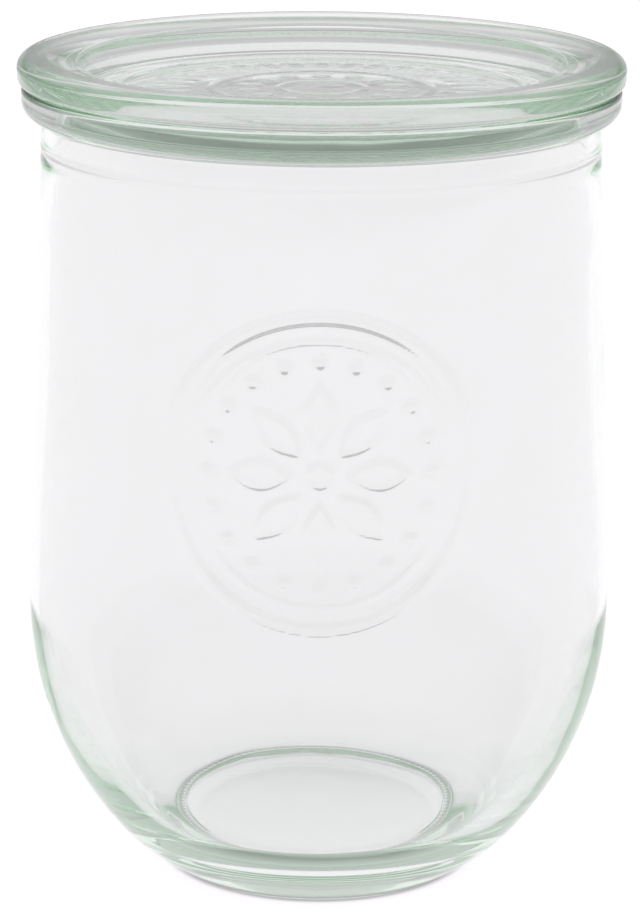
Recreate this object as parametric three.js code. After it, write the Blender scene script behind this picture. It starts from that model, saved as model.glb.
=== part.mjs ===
// A tulip-shaped preserving jar of pressed glass with a loose glass lid.
// Both pieces are turned about the Z axis, and the jar stands on z = 0.
import * as THREE from "three";

// Driving sizes of the jar's outside: millimetres, and slopes in degrees from level
const jarHeight = 147; // from the bearing ring to the flat top of the rim
const bearingRingRadius = 28.3; // outer edge of the flat ring that the jar stands on
const bearingRingWidth = 1.4;
const bearingRingRound = 0.5;
const baseStep = 0.6; // rise from the bearing ring to the base plate inside it
const basePushUp = 2; // further rise to the middle of the base plate
const heelSpread = 0.5; // the heel starts this far outside the bearing ring
const heelRise = 0.56; // and this far above it
const heelSlope = 28.7; // where the heel starts
const heelRadius = 35.4;
const bowlSlope = 50.4; // where the heel passes into the bowl
const bowlRadius = 65.2;
const bellySlope = 88.1; // where the bowl passes into the belly
const bellyRadius = 370;
const wallLean = 2.87; // the straight side leans in by this, from upright

// Driving sizes of the jar's inside
const wall = 2.2; // glass at the belly
const bowlGlass = 4; // glass at the foot of the inner bowl
const bowlGlassSlope = 55; // slope of the outside there
const floorCornerRadius = 18; // round groove between the bowl and the domed floor
const floorCornerSlope = 52; // where the groove passes into the inner bowl
const floorDomeSlope = 7.5; // where the domed floor runs down into the groove

// Driving sizes of the rim
const beadProjection = 3.7; // the bead stands out from the neck by this
const beadHeight = 5.8;
const beadUnderside = 3.2; // height of the bead's rounded underside
const rimOuterRound = 1;
const rimInnerRound = 1;

// Driving sizes of the lid
const seatGap = 0.2; // clearance between the rim and the lid's seat
const lidOverhang = 0.9; // the lid stands out from the bead by this
const lidEdge = 5.2; // thickness of the lid's outer band
const lidDraft = 0.3; // the edge is narrower at its foot by this
const lidTopRound = 2.4;
const lidFootRound = 1.5;
const lipWidth = 5.4; // flat lip around the top
const lipSlopeWidth = 5.8; // from the lip to the edge of the recess
const lipSlopeDrop = 1.2;
const recessDepth = 6.4; // from the lip to the floor of the recess
const recessDraft = 1.6; // the recess is narrower at its floor by this
const recessRound = 1;
const plugClearance = 1; // between the mouth and the plug under the lid
const plugDepth = 5; // the plug reaches this far below the seat
const plugDraft = 0.5;
const plugRound = 0.6;

// How finely the turned surfaces are divided
const sidesAround = 56;
const arcStep = 6; // degrees
const roundSteps = 4;
const archSteps = 3;

const { degToRad } = THREE.MathUtils;

// Draws a chain of arcs and straight runs that pass smoothly into each other.
// A slope of 0 points out from the axis, and 90 points up.
class OutlinePen {
  constructor(r, z, slope) {
    this.slope = slope;
    this.points = [new THREE.Vector2(r, z)];
  }

  get place() {
    return this.points.at(-1);
  }

  arc(radius, toSlope) {
    const { x, y } = this.place;
    const from = degToRad(this.slope);
    const steps = Math.ceil(Math.abs(toSlope - this.slope) / arcStep);
    for (let step = 1; step <= steps; step++) {
      const slope = degToRad(THREE.MathUtils.lerp(this.slope, toSlope, step / steps));
      const r = x + radius * (Math.sin(slope) - Math.sin(from));
      const z = y + radius * (Math.cos(from) - Math.cos(slope));
      this.points.push(new THREE.Vector2(r, z));
    }
    this.slope = toSlope;
    return this;
  }

  straightUpTo(z) {
    const { x, y } = this.place;
    const slope = degToRad(this.slope);
    this.points.push(new THREE.Vector2(x + (z - y) / Math.tan(slope), z));
    return this;
  }
}

// A shallow arch from the axis out to a radius, as a parabola that is level on the axis.
function arch(radius, edgeHeight, crown) {
  const points = [];
  for (let step = 0; step <= archSteps; step++) {
    const share = step / archSteps;
    points.push(new THREE.Vector2(radius * share, edgeHeight + crown * (1 - share * share)));
  }
  return points;
}

// A point of an outline, with the radius that its corner is rounded to.
function corner(r, z, fillet = 0) {
  return Object.assign(new THREE.Vector2(r, z), { fillet });
}

function roundCorners(outline) {
  return outline.flatMap((point, index) => {
    if (!point.fillet) return [point];
    const back = outline[index - 1].clone().sub(point);
    const ahead = outline[index + 1].clone().sub(point);
    const halfAngle = back.angleTo(ahead) / 2;
    const longestCut = Math.min(back.length(), ahead.length()) * 0.49;
    const cut = Math.min(point.fillet / Math.tan(halfAngle), longestCut);
    const radius = cut * Math.tan(halfAngle);
    back.normalize();
    ahead.normalize();
    const toCentre = back.clone().add(ahead).setLength(radius / Math.sin(halfAngle));
    const centre = point.clone().add(toCentre);
    const first = point.clone().addScaledVector(back, cut).sub(centre);
    const last = point.clone().addScaledVector(ahead, cut).sub(centre);
    const turn = Math.atan2(first.cross(last), first.dot(last));
    const rounded = [];
    for (let step = 0; step <= roundSteps; step++) {
      const angle = (turn * step) / roundSteps;
      rounded.push(first.clone().rotateAround(new THREE.Vector2(), angle).add(centre));
    }
    return rounded;
  });
}

function turned(name, outline, material) {
  const geometry = new THREE.LatheGeometry(roundCorners(outline), sidesAround);
  geometry.rotateX(Math.PI / 2);
  const mesh = new THREE.Mesh(geometry, material);
  mesh.name = name;
  return mesh;
}

const clearGlass = new THREE.MeshStandardMaterial({
  color: 0xdde8e0,
  roughness: 0.05,
  metalness: 0,
  transparent: true,
  opacity: 0.4,
});

// Jar outside: bearing ring, heel, bowl, belly and straight side, up to the bead
const upright = 90;
const beadFoot = jarHeight - beadHeight;
const outside = new OutlinePen(bearingRingRadius + heelSpread, heelRise, heelSlope)
  .arc(heelRadius, bowlSlope)
  .arc(bowlRadius, bowlGlassSlope);
const bowlFoot = outside.place;
outside.arc(bowlRadius, bellySlope).arc(bellyRadius, upright);
const bellyOuter = outside.place.x;
outside.arc(bellyRadius, upright + wallLean).straightUpTo(beadFoot);
const neckOuter = outside.place.x;

// Jar inside: a domed floor, a groove around it, the inner bowl and the straight side up to the mouth.
// The groove ends where the glass at the foot of the bowl has its thickness, which sets the floor's height.
const cornerSine = Math.sin(degToRad(floorCornerSlope));
const cornerCosine = Math.cos(degToRad(floorCornerSlope));
const domeSine = Math.sin(degToRad(floorDomeSlope));
const domeCosine = Math.cos(degToRad(floorDomeSlope));
const innerBowlFoot = new THREE.Vector2(0, bowlGlass)
  .rotateAround(new THREE.Vector2(), degToRad(bowlGlassSlope))
  .add(bowlFoot);
const domeReach = innerBowlFoot.x - floorCornerRadius * (cornerSine + domeSine);
const domeRadius = domeReach / domeSine;
const domeRise = domeRadius * (1 - domeCosine);
const floorTop = innerBowlFoot.y + domeRise - floorCornerRadius * (domeCosine - cornerCosine);
const innerBowlRadius = (bellyOuter - wall - innerBowlFoot.x) / (1 - cornerSine);
const inside = new OutlinePen(0, floorTop, 0)
  .arc(-domeRadius, -floorDomeSlope)
  .arc(floorCornerRadius, floorCornerSlope)
  .arc(innerBowlRadius, upright)
  .arc(bellyRadius - wall, upright + wallLean)
  .straightUpTo(jarHeight);
const mouth = inside.place.x;

// Bead: a quarter ellipse under the rim
const beadOuter = neckOuter + beadProjection;
const beadMiddle = beadFoot + beadUnderside;
const underBead = new THREE.EllipseCurve(
  neckOuter, beadMiddle, beadProjection, beadUnderside, -Math.PI / 2, 0,
).getPoints(5);

const plateRadius = bearingRingRadius - bearingRingWidth;
const jarOutline = [
  ...arch(plateRadius - baseStep, baseStep, basePushUp),
  corner(plateRadius, 0),
  corner(bearingRingRadius, 0, bearingRingRound),
  ...outside.points,
  ...underBead.slice(1),
  corner(beadOuter, jarHeight, rimOuterRound),
  corner(mouth, jarHeight, rimInnerRound),
  ...inside.points.slice(0, -1).reverse(),
];

// Lid: a flat seat on the rim, a shallow plug inside the mouth and a recessed top; z = 0 is the seat
const lidRadius = beadOuter + lidOverhang;
const plugRadius = mouth - plugClearance;
const lipInner = lidRadius - lipWidth;
const recessRadius = lipInner - lipSlopeWidth;
const lidOutline = [
  corner(0, -plugDepth),
  corner(plugRadius - plugDraft, -plugDepth, plugRound),
  corner(plugRadius, 0),
  corner(lidRadius - lidDraft, 0, lidFootRound),
  corner(lidRadius, lidEdge, lidTopRound),
  corner(lipInner, lidEdge),
  corner(recessRadius, lidEdge - lipSlopeDrop, recessRound),
  corner(recessRadius - recessDraft, lidEdge - recessDepth, recessRound),
  corner(0, lidEdge - recessDepth),
];

const group = new THREE.Group();
const jarBody = turned("jar_body", jarOutline, clearGlass);
const lid = turned("lid", lidOutline, clearGlass.clone());
lid.position.z = jarHeight + seatGap;
group.add(jarBody, lid);

export default group;
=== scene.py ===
import math

import bpy
import numpy as np
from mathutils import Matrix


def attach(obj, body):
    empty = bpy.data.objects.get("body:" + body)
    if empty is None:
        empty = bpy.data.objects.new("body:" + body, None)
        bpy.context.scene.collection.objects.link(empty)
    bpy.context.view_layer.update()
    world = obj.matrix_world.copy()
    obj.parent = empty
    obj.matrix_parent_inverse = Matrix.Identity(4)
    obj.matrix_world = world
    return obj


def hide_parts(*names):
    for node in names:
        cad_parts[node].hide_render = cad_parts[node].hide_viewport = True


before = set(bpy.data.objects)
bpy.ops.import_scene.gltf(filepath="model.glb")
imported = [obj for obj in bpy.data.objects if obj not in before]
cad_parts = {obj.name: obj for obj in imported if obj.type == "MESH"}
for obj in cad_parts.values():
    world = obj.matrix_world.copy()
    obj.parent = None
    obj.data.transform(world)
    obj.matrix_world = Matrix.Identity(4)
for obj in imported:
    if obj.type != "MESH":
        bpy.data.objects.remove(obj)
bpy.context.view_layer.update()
scene = bpy.context.scene


# Jar body: one piece of clear soda-lime glass, pressed to a blank and blown out in a mould to a tulip shape.
# It stands on a knurled bearing ring around a base plate that is pushed up. A medallion is embossed on the
# front of its wall, and a faint line on the neck shows where the neck ring met the mould.
jar_height = 147.0  # sizes are in millimetres, and slopes in degrees from level
ring_outer, ring_inner, ring_round = 28.3, 26.9, 0.5
base_step, step_round, push_up = 0.6, 0.25, 2.0
heel_spread, heel_rise, heel_slope, heel_arc = 0.5, 0.56, 28.7, 35.4
bowl_slope, bowl_arc = 50.4, 65.2
belly_slope, belly_arc = 88.1, 370.0
lean = math.radians(2.87)
belly_glass, bowl_glass, bowl_glass_slope = 2.2, 4.0, 55.0
groove, groove_slope, dome_slope = 18.0, 52.0, 7.5
bead_out, bead_tall, bead_under, bead_fillet = 3.7, 5.8, 3.2, 0.7
rim_round = 1.0
neck_line, neck_line_raised, neck_line_half = 136.3, 0.10, 0.8
knurls, knurl_depth = 108, 0.15
columns = 256
ring_split = 3  # columns of the bearing ring for each column elsewhere
mm_per_metre = 1000


def arc_chain(start, slope, *arcs):
    """Outline points (radius, height) on arcs that pass smoothly into each other. Along an arc the slope
    turns evenly, and a point lies radius * (sine of the slope - sine of the first slope) further out and
    radius * (cosine of the first slope - cosine of the slope) higher than the arc's first point."""
    chain = [np.array([start], float)]
    for radius, last, count in arcs:
        turn = np.radians(np.linspace(slope, last, count + 1))
        step = np.column_stack([np.sin(turn) - np.sin(turn[0]), np.cos(turn[0]) - np.cos(turn)])
        chain.append(chain[-1][-1] + radius * step[1:])
        slope = last
    return np.vstack(chain)


def rounded(corners, count):
    """An outline through corners (radius, height, fillet). At a fillet, points go round a circle that touches
    both sides: its middle lies on the bisector, fillet / sine of half the corner's angle from the corner. A
    fillet takes less than half of a side."""
    place = np.array([corner[:2] for corner in corners], float)
    outline = []
    for index, fillet in enumerate(corner[2] for corner in corners):
        if not fillet:
            outline.append(place[index:index + 1])
            continue
        sides = place[[index - 1, index + 1]] - place[index]
        reach = np.linalg.norm(sides, axis=1)
        back, ahead = sides / reach[:, None]
        half = math.acos(np.clip(back @ ahead, -1, 1)) / 2
        cut = min(fillet / math.tan(half), 0.49 * reach.min())
        radius = cut * math.tan(half)
        bisector = (back + ahead) / np.linalg.norm(back + ahead)
        middle = place[index] + bisector * radius / math.sin(half)
        first, last = place[index] + back * cut - middle, place[index] + ahead * cut - middle
        turn = math.atan2(first[0] * last[1] - first[1] * last[0], first @ last)
        angle = turn * np.linspace(0, 1, count + 1)
        outline.append(middle + np.column_stack([
            first[0] * np.cos(angle) - first[1] * np.sin(angle),
            first[0] * np.sin(angle) + first[1] * np.cos(angle)]))
    return np.vstack(outline)


def wall_radius(height, widest, middle, arc):
    """Radius of the wall at a height. Around the widest place it follows a great arc, so it falls short of
    the widest radius by arc * (1 - cosine of the turn). Above the arc it leans in along a straight line."""
    turn = np.arcsin(np.minimum((height - middle) / arc, math.sin(lean)))
    above = np.maximum(height - middle - arc * math.sin(lean), 0)
    return widest - arc * (1 - np.cos(turn)) - math.tan(lean) * above


def swell(distance, half_width):
    """A soft ridge: the squared cosine of the distance, 1 on its crest and 0 from its half width on."""
    return np.cos(np.pi / 2 * np.minimum(np.abs(distance) / half_width, 1)) ** 2


def plateau(inside, soft):
    """A raised area: the squared sine of how far a place lies inside the edge, 0 outside and 1 from the
    width of the soft edge on."""
    return np.sin(np.pi / 2 * np.clip(inside / soft, 0, 1)) ** 2


def to_nearest(angle, count):
    """How far an angle lies from the nearest of a number of places that are spread evenly over a turn."""
    return angle - np.round(angle * count / (2 * np.pi)) * 2 * np.pi / count


# Medallion: its middle's height and how far it stands out, then its forms from the edge to the middle
medallion_middle, raised = 87.6, 0.44
frame_circle, frame_half = 27.4, 1.4
thin_circle, thin_half, thin_raised = 23.4, 0.8, 0.28
pearls, pearl_circle, pearl_radius = 20, 19.8, 1.5
petals, petal_foot, petal_length, petal_half = 8, 4.2, 12.4, 3.1
boss_radius = 2.7


def medallion(across, up):
    """Height of the embossing at a place measured from the medallion's middle: a round frame, a thin ring, a
    circle of pearls and leaf-shaped petals about a boss. A petal's half width is a sine of how far along it
    a place lies."""
    out, angle = np.hypot(across, up), np.arctan2(across, up)
    frame_ring = raised * plateau(frame_half - np.abs(out - frame_circle), soft=0.9)
    thin_ring = thin_raised * plateau(thin_half - np.abs(out - thin_circle), soft=0.75)
    off_pearl = np.hypot(out - pearl_circle, pearl_circle * to_nearest(angle, pearls))
    pearl_ring = raised * plateau(pearl_radius - off_pearl, soft=1.1)
    to_petal = to_nearest(angle, petals)
    along = np.clip((out * np.cos(to_petal) - petal_foot) / petal_length, 0, 1)
    half_width = petal_half * np.sin(np.pi * along)
    flower = raised * plateau(half_width - np.abs(out * np.sin(to_petal)), soft=1.0)
    boss = raised * plateau(boss_radius - out, soft=1.0)
    return frame_ring + thin_ring + pearl_ring + flower + boss


def blown_waves(angle, height):
    """Slow unevenness of the blown inside: three shallow sine waves that run slantwise around the wall."""
    return (0.035 * np.sin(4 * angle + 0.045 * height) + 0.022 * np.sin(7 * angle - 0.07 * height + 1.3)
            + 0.018 * np.sin(0.13 * height + 2 * np.sin(2 * angle + 0.6)))


def turned(radius, angle, height):
    """Points of a turned surface, in metres: radius * sine of the angle to the right, and radius * cosine of
    the angle towards the front."""
    radius, angle, height = np.broadcast_arrays(radius, angle, height)
    return np.stack([radius * np.sin(angle), -radius * np.cos(angle), height], -1) / mm_per_metre


def band(lower, upper):
    """Faces between two rings of point numbers. Like rings are joined by quads. Where one ring has three
    points for each point of the other, a face has six corners."""
    if len(lower) == len(upper):
        return np.column_stack([lower, np.roll(lower, -1), np.roll(upper, -1), upper]).tolist()
    if len(lower) < len(upper):
        fine = upper.reshape(-1, ring_split)
        return np.column_stack([lower, np.roll(lower, -1), np.roll(fine[:, 0], -1), fine[:, ::-1]]).tolist()
    fine = lower.reshape(-1, ring_split)
    return np.column_stack([fine, np.roll(fine[:, 0], -1), np.roll(upper, -1), upper]).tolist()


def closed_skin(name, bottom, grids, top):
    """A closed mesh from grids of points, one after the other from the bottom pole to the top pole. Each row
    is a ring, neighbouring rings are joined by bands, and the first and last ring by a fan of triangles to
    its pole."""
    rings, points, first = [], [np.array([bottom]) / mm_per_metre], 1
    for grid in grids:
        rings += [first + np.arange(grid.shape[1]) + row * grid.shape[1] for row in range(grid.shape[0])]
        points.append(grid.reshape(-1, 3))
        first += grid.shape[0] * grid.shape[1]
    points.append(np.array([top]) / mm_per_metre)
    start, end = rings[0], rings[-1]
    faces = np.column_stack([np.zeros_like(start), np.roll(start, -1), start]).tolist()
    for lower, upper in zip(rings, rings[1:]):
        faces += band(lower, upper)
    faces += np.column_stack([np.full_like(end, first), end, np.roll(end, -1)]).tolist()
    mesh = bpy.data.meshes.new(name)
    mesh.from_pydata(np.vstack(points), [], faces)
    mesh.polygons.foreach_set("use_smooth", np.ones(len(faces), bool))
    mesh.validate()
    piece = bpy.data.objects.new(name, mesh)
    scene.collection.objects.link(piece)
    return piece


# Outline of the base plate, the bearing ring and the heel, whose first rows have the ring's fine columns
plate_edge = ring_inner - base_step
plate_margin, flat_margin, fine_heel_rows = 0.4, 0.3, 3
plate_r = np.linspace(0, plate_edge - plate_margin, 14)[1:]
plate = np.column_stack([plate_r, base_step + push_up * (1 - (plate_r / plate_edge) ** 2)])
step_corners = [
    (*plate[-1], 0), (plate_edge, base_step, step_round), (ring_inner, 0, step_round), (ring_outer, 0, 0)]
flat_r = np.linspace(ring_inner + flat_margin, ring_outer - flat_margin, 4)
heel_start = (ring_outer + heel_spread, heel_rise)
edge_corners = [(ring_inner, 0, 0), (ring_outer, 0, ring_round), (*heel_start, 0)]
heel = arc_chain(heel_start, heel_slope, (heel_arc, bowl_slope, 18))
ring = np.vstack([
    rounded(step_corners, 3)[1:-1], np.column_stack([flat_r, np.zeros_like(flat_r)]),
    rounded(edge_corners, 3)[1:-1], heel[:fine_heel_rows]])

# Outline of the bowl, the wall and the bead. Rows lie close together over the medallion and the neck line.
# A fillet takes the place of the bead's first rows.
bowl_foot_rows, fillet_rows = 3, 4
bowl = arc_chain(
    heel[-1], bowl_slope, (bowl_arc, bowl_glass_slope, bowl_foot_rows), (bowl_arc, belly_slope, 20))[1:]
bowl_foot = bowl[bowl_foot_rows - 1]
belly_turn = math.radians(90 - belly_slope)
belly_middle = bowl[-1, 1] + belly_arc * math.sin(belly_turn)
belly_radius = bowl[-1, 0] + belly_arc * (1 - math.cos(belly_turn))
medallion_rows, neck_line_rows = np.arange(57.9, 117.4, 0.42), np.arange(134.6, 138.2, 0.35)
wall_heights = np.concatenate([
    np.linspace(bowl[-1, 1], 57.4, 4)[1:], medallion_rows, np.linspace(119, 134, 6), neck_line_rows,
    [139.2, 140.3]])
wall = np.column_stack([wall_radius(wall_heights, belly_radius, belly_middle, belly_arc), wall_heights])
neck_height = jar_height - bead_tall
neck = wall_radius(neck_height, belly_radius, belly_middle, belly_arc)
bead_outer = neck + bead_out
bead_turn = np.radians(np.linspace(-90, 0, 15))[fillet_rows:]
bead = np.column_stack([
    neck + bead_out * np.cos(bead_turn), neck_height + bead_under * (1 + np.sin(bead_turn))])
fillet_under_bead = rounded([(*wall[-1], 0), (neck, neck_height, bead_fillet), (*bead[0], 0)], 4)[1:-1]

# Outline of the inside, from the middle of the domed floor to the mouth, and of the rim
inward, groove_turn, dome_turn = np.radians([bowl_glass_slope, groove_slope, dome_slope])
inner_foot = bowl_foot + bowl_glass * np.array([-math.sin(inward), math.cos(inward)])
dome = (inner_foot[0] - groove * (math.sin(groove_turn) + math.sin(dome_turn))) / math.sin(dome_turn)
dome_rise = dome * (1 - math.cos(dome_turn))
floor_top = inner_foot[1] + dome_rise - groove * (math.cos(dome_turn) - math.cos(groove_turn))
inner_bowl = (belly_radius - belly_glass - inner_foot[0]) / (1 - math.sin(groove_turn))
inside_foot = arc_chain(
    (0, floor_top), 0, (-dome, -dome_slope, 10), (groove, groove_slope, 14), (inner_bowl, 90, 22))
inside_belly, inside_arc = inside_foot[-1], belly_arc - belly_glass
inside_heights = np.linspace(inside_belly[1], jar_height - 2.5 * rim_round, 22)[1:]
inside = np.vstack([inside_foot[1:], np.column_stack([
    wall_radius(inside_heights, *inside_belly, inside_arc), inside_heights])])
mouth = wall_radius(jar_height, *inside_belly, inside_arc)
rim = rounded([
    (*bead[-1], 0), (bead_outer, jar_height, rim_round), (mouth, jar_height, rim_round), (*inside[-1], 0)],
    7)[1:-1]

# The columns crowd towards the front where the medallion is, and lie evenly at the base and the rim
crowding, crowd_foot, crowd_rise, crowd_top, crowd_fall = 0.68, 12, 40, 139, 16
turn = 2 * np.pi * np.arange(columns) / columns
outside = np.vstack([heel[fine_heel_rows:], bowl, wall, fillet_under_bead, bead])
outside_r, outside_z = outside[:, :1], outside[:, 1:]
crowd = np.clip((outside_z - crowd_foot) / crowd_rise, 0, 1)
crowd *= np.clip((crowd_top - outside_z) / crowd_fall, 0, 1)
outside_turn = turn - crowding * crowd * np.sin(turn)
from_front = np.where(outside_turn > np.pi, outside_turn - 2 * np.pi, outside_turn)
relief = medallion(outside_r * from_front, outside_z - medallion_middle)
relief += neck_line_raised * swell(outside_z - neck_line, neck_line_half)

# The knurls lie on the flat of the bearing ring and fade out at both of its edges
knurls_end, knurl_inner_fade, knurl_outer_fade = 28.2, 0.2, 0.3
ring_r, ring_z = ring[:, :1], ring[:, 1:]
fine_turn = 2 * np.pi * np.arange(ring_split * columns) / (ring_split * columns)
knurl = 0.5 - 0.5 * np.cos(knurls * fine_turn)
knurl_reach = np.clip((ring_r - ring_inner) / knurl_inner_fade, 0, 1)
knurl_reach *= np.clip((knurls_end - ring_r) / knurl_outer_fade, 0, 1)

# The waves fade out below the rim and towards the middle of the floor, and run deepest around the bowl
calm_rim, rim_fade, calm_floor, floor_fade = 6, 15, 20, 20
deepest, deep_height, deep_spread = 2.5, 20, 14
inner = np.vstack([rim, inside[::-1]])
inner_r, inner_z = inner[:, :1], inner[:, 1:]
waves = blown_waves(turn, inner_z) * np.clip((jar_height - calm_rim - inner_z) / rim_fade, 0, 1)
waves *= np.clip((inner_r - calm_floor) / floor_fade, 0, 1)
waves *= 1 + deepest * np.exp(-((inner_z - deep_height) / deep_spread) ** 2)

jar_piece = closed_skin("jar_glass_body", (0, 0, base_step + push_up), [
    turned(plate[:, :1], turn, plate[:, 1:]),
    turned(ring_r, fine_turn, ring_z + knurl_depth * knurl * knurl_reach),
    turned(outside_r + relief, outside_turn, outside_z),
    turned(inner_r + waves, turn, inner_z),
], (0, 0, floor_top))


def pressed_glass(name, depth_colour, worn_from, worn_to):
    """Clear soda-lime glass that keeps a little of the light at each surface: smooth, with a faint unevenness
    of its fire-polished skin, a slight green in its depth, and scuffs that grow from one height, in metres,
    to another, where it stands or is handled."""
    glass = bpy.data.materials.new(name)
    glass.use_nodes = True
    nodes, links = glass.node_tree.nodes, glass.node_tree.links
    shader, output = nodes["Principled BSDF"], nodes["Material Output"]
    shader.inputs["IOR"].default_value = 1.52
    shader.inputs["Transmission Weight"].default_value = 1.0
    place = nodes.new("ShaderNodeTexCoord")
    heights = nodes.new("ShaderNodeSeparateXYZ")
    links.new(place.outputs["Object"], heights.inputs[0])
    scuffed = nodes.new("ShaderNodeMapRange")
    scuffed.inputs["From Min"].default_value = worn_from
    scuffed.inputs["From Max"].default_value = worn_to
    links.new(heights.outputs["Z"], scuffed.inputs["Value"])
    grain = nodes.new("ShaderNodeTexNoise")
    grain.inputs["Scale"].default_value = 900
    grain.inputs["Detail"].default_value = 3
    links.new(place.outputs["Object"], grain.inputs["Vector"])
    scuffs = nodes.new("ShaderNodeMath")
    scuffs.operation = "MULTIPLY"
    links.new(scuffed.outputs[0], scuffs.inputs[0])
    links.new(grain.outputs["Fac"], scuffs.inputs[1])
    haze = nodes.new("ShaderNodeMapRange")
    haze.inputs["To Min"].default_value = 0.0
    haze.inputs["To Max"].default_value = 0.4
    links.new(scuffs.outputs[0], haze.inputs["Value"])
    links.new(haze.outputs[0], shader.inputs["Roughness"])
    skin = nodes.new("ShaderNodeTexNoise")
    skin.inputs["Scale"].default_value = 70
    skin.inputs["Detail"].default_value = 1
    links.new(place.outputs["Object"], skin.inputs["Vector"])
    ripple = nodes.new("ShaderNodeBump")
    ripple.inputs["Strength"].default_value = 0.05
    ripple.inputs["Distance"].default_value = 0.001
    links.new(skin.outputs["Fac"], ripple.inputs["Height"])
    links.new(ripple.outputs[0], shader.inputs["Normal"])
    tint = nodes.new("ShaderNodeValToRGB")
    tint.color_ramp.elements[0].color = (0.892, 0.897, 0.892, 1)
    tint.color_ramp.elements[1].color = (0.908, 0.908, 0.908, 1)
    links.new(skin.outputs["Fac"], tint.inputs["Fac"])
    links.new(tint.outputs["Color"], shader.inputs["Base Color"])
    depth = nodes.new("ShaderNodeVolumeAbsorption")
    depth.inputs["Color"].default_value = depth_colour
    depth.inputs["Density"].default_value = 5.0
    links.new(depth.outputs[0], output.inputs["Volume"])
    return glass


jar_green = (0.25, 0.70, 0.32, 1)
jar_glass = pressed_glass("jar_pressed_glass", jar_green, worn_from=0.0002, worn_to=0.0)
jar_piece.data.materials.append(jar_glass)
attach(jar_piece, "jar")
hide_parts("jar_body")


# Lid: one piece of the same glass, pressed in a two-part mould. It lies loose on the rim, with a shallow plug
# inside the mouth, and its top is recessed to take the base of another jar.
seat_gap, lid_overhang = 0.2, 0.9
lid_edge, lid_draft, lid_foot_round, lid_top_round = 5.2, 0.3, 1.5, 2.4
lip_width, lip_round, lip_slope_width, lip_slope_drop = 5.4, 3.0, 5.8, 1.2
recess_depth, recess_draft, recess_round = 6.4, 1.6, 1.0
plug_clearance, plug_depth, plug_draft, plug_round, plug_root_round = 1.0, 5.0, 0.5, 0.6, 0.5
seat = jar_height + seat_gap
lid_radius = bead_outer + lid_overhang
plug_radius = mouth - plug_clearance
lip_inner = lid_radius - lip_width
recess_radius = lip_inner - lip_slope_width
recess_floor = seat + lid_edge - recess_depth
lid_sides = rounded([
    (0, -plug_depth, 0),
    (plug_radius - plug_draft, -plug_depth, plug_round),
    (plug_radius, 0, plug_root_round),
    (lid_radius - lid_draft, 0, lid_foot_round),
    (lid_radius, lid_edge, lid_top_round),
    (lip_inner, lid_edge, lip_round),
    (recess_radius, lid_edge - lip_slope_drop, recess_round),
    (recess_radius - recess_draft, lid_edge - recess_depth, recess_round),
    (0, lid_edge - recess_depth, 0)], 8)[1:-1]
lid_sides[:, 1] += seat
underside_r = np.linspace(0, lid_sides[0, 0], 24)[1:-1]
underside = np.column_stack([underside_r, np.full_like(underside_r, seat - plug_depth)])
recess_r = np.linspace(lid_sides[-1, 0], 0, 56)[1:-1]
recess = np.column_stack([recess_r, np.full_like(recess_r, recess_floor)])

# Pattern in the recess: thin rings, a circle of rays and a circle of knobs
thin_rings, thin_ring_half, thin_ring_raised = (37, 19.5, 7.5), 0.9, 0.12
rays, ray_circle, ray_half, ray_reach = 36, 28.2, 1.3, 5.0
knobs, knob_circle, knob_radius = 14, 13.5, 2.0
pattern_raised = 0.15


def recess_pattern(out, angle):
    """Height of the embossing in the recess: thin rings, a circle of short rays, each a ridge across the
    angle that fades at both ends, and inside it a circle of knobs."""
    rings = thin_ring_raised * sum(swell(out - circle, thin_ring_half) for circle in thin_rings)
    ray_ring = swell(out * to_nearest(angle, rays), ray_half) * swell(out - ray_circle, ray_reach)
    off_knob = np.hypot(out - knob_circle, knob_circle * to_nearest(angle, knobs))
    return rings + pattern_raised * (ray_ring + swell(off_knob, knob_radius))


lid_outline = np.vstack([underside, lid_sides, recess])
lid_height = lid_outline[:, 1:] + np.zeros(columns)
lid_height[-len(recess):] += recess_pattern(recess_r[:, None], turn)
lid_piece = closed_skin("lid_glass_disc", (0, 0, seat - plug_depth), [
    turned(lid_outline[:, :1], turn, lid_height)], (0, 0, recess_floor))
lid_green = (0.20, 0.68, 0.26, 1)
lid_glass = pressed_glass("lid_pressed_glass", lid_green, worn_from=0.1521, worn_to=0.1524)
lid_piece.data.materials.append(lid_glass)
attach(lid_piece, "lid")
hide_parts("lid")


# Floor and studio: a large white table under soft light from all round, whose own light and shade are painted
# into its glow by distance from the jar.
# The far table is painted darker, the room is darker, and glass that bends the view towards them shows it in
# its edges.
table_sides, table_gap = 64, 0.05
table_reach = np.array([20, 100, 500, 2000, 8000])[:, None]
around = 2 * np.pi * np.arange(table_sides) / table_sides
table = turned(table_reach, around, -table_gap).reshape(-1, 3)
table_rings = np.arange(len(table)).reshape(-1, table_sides)
table_faces = [table_rings[0].tolist()]
for inner_ring, outer_ring in zip(table_rings, table_rings[1:]):
    table_faces += band(outer_ring, inner_ring)
floor_mesh = bpy.data.meshes.new("table")
floor_mesh.from_pydata(table, [], table_faces)
floor_piece = bpy.data.objects.new("table", floor_mesh)
scene.collection.objects.link(floor_piece)


def brightness_ramp(nodes, stops):
    """A ramp of light levels at places from 0 to 1, each a faint lilac white times its level."""
    ramp = nodes.new("ShaderNodeValToRGB")
    while len(ramp.color_ramp.elements) < len(stops):
        ramp.color_ramp.elements.new(0.5)
    for element, (place, level) in zip(ramp.color_ramp.elements, stops):
        element.position = place
        element.color = (0.995 * level, 0.97 * level, level, 1)
    return ramp


paper = bpy.data.materials.new("pale_table")
paper.use_nodes = True
nodes, links = paper.node_tree.nodes, paper.node_tree.links
nodes.remove(nodes["Principled BSDF"])
place = nodes.new("ShaderNodeTexCoord")
distance = nodes.new("ShaderNodeVectorMath")
distance.operation = "LENGTH"
links.new(place.outputs["Object"], distance.inputs[0])
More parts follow.
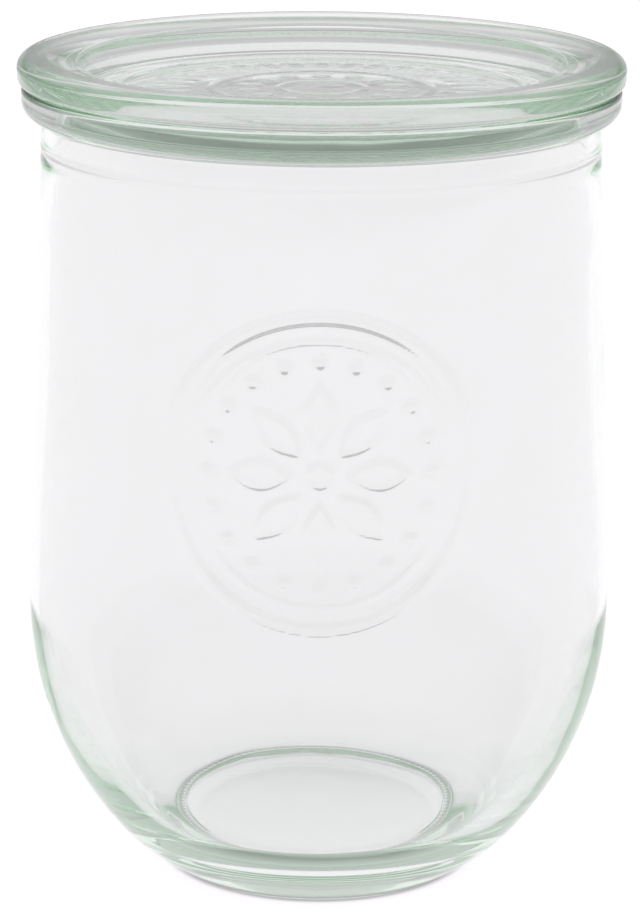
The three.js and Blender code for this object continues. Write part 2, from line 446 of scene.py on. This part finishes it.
# Distance d becomes d / (d + 0.3), in metres, so that a ramp covers the near table as well as the far one
farther = nodes.new("ShaderNodeMath")
farther.inputs[1].default_value = 0.3
links.new(distance.outputs["Value"], farther.inputs[0])
share = nodes.new("ShaderNodeMath")
share.operation = "DIVIDE"
links.new(distance.outputs["Value"], share.inputs[0])
links.new(farther.outputs[0], share.inputs[1])
# The dip is a painted contact shadow under the edge of the bearing ring, 28 mm from the axis. The table glows
# white out to 1.2 m, and beyond that painted shade makes it darker.
painted_table_light = brightness_ramp(nodes, [
    (0.0, 1.0), (0.0835, 1.0), (0.0855, 0.38), (0.088, 0.38), (0.09, 0.94), (0.36, 0.93), (0.8, 0.93),
    (0.83, 0.5), (1.0, 0.42)])
links.new(share.outputs[0], painted_table_light.inputs["Fac"])
# This glow is no lamp: it paints the table's light, its contact shadow and its darker far part
glow = nodes.new("ShaderNodeEmission")
links.new(painted_table_light.outputs["Color"], glow.inputs["Color"])
matt = nodes.new("ShaderNodeBsdfDiffuse")
matt.inputs["Color"].default_value = (0.25, 0.25, 0.25, 1)
both = nodes.new("ShaderNodeAddShader")
links.new(glow.outputs[0], both.inputs[0])
links.new(matt.outputs[0], both.inputs[1])
links.new(both.outputs[0], nodes["Material Output"].inputs["Surface"])
floor_mesh.materials.append(paper)

studio = bpy.data.worlds.new("studio")
studio.use_nodes = True
scene.world = studio
nodes, links = studio.node_tree.nodes, studio.node_tree.links
direction = nodes.new("ShaderNodeTexCoord")
upward = nodes.new("ShaderNodeSeparateXYZ")
links.new(direction.outputs["Generated"], upward.inputs[0])
# The room's light by height, from the horizon to straight up
dome_light = brightness_ramp(nodes, [
    (0.0, 0.73), (0.09, 0.60), (0.156, 0.37), (0.22, 0.50), (0.31, 0.63), (0.41, 0.78), (0.51, 0.63),
    (0.60, 0.78), (0.72, 0.85), (0.87, 0.69), (0.95, 0.54), (1.0, 0.50)])
links.new(upward.outputs["Z"], dome_light.inputs["Fac"])
links.new(dome_light.outputs["Color"], nodes["Background"].inputs["Color"])
scene.view_settings.view_transform = "Standard"
glass_bounces = 96
scene.cycles.max_bounces = glass_bounces
scene.cycles.transmission_bounces = glass_bounces
scene.cycles.glossy_bounces = glass_bounces

# Camera: a long lens a little above the lid, tipped down to the middle of the jar
camera = bpy.data.cameras.new("camera")
camera.sensor_width = 36
camera.lens = 144.3
viewpoint = bpy.data.objects.new("camera", camera)
viewpoint.location = (-0.0010, -0.6606, 0.2543)
viewpoint.rotation_euler = (math.radians(90 - 15.07), math.radians(-0.36), 0)
scene.collection.objects.link(viewpoint)
scene.camera = viewpoint
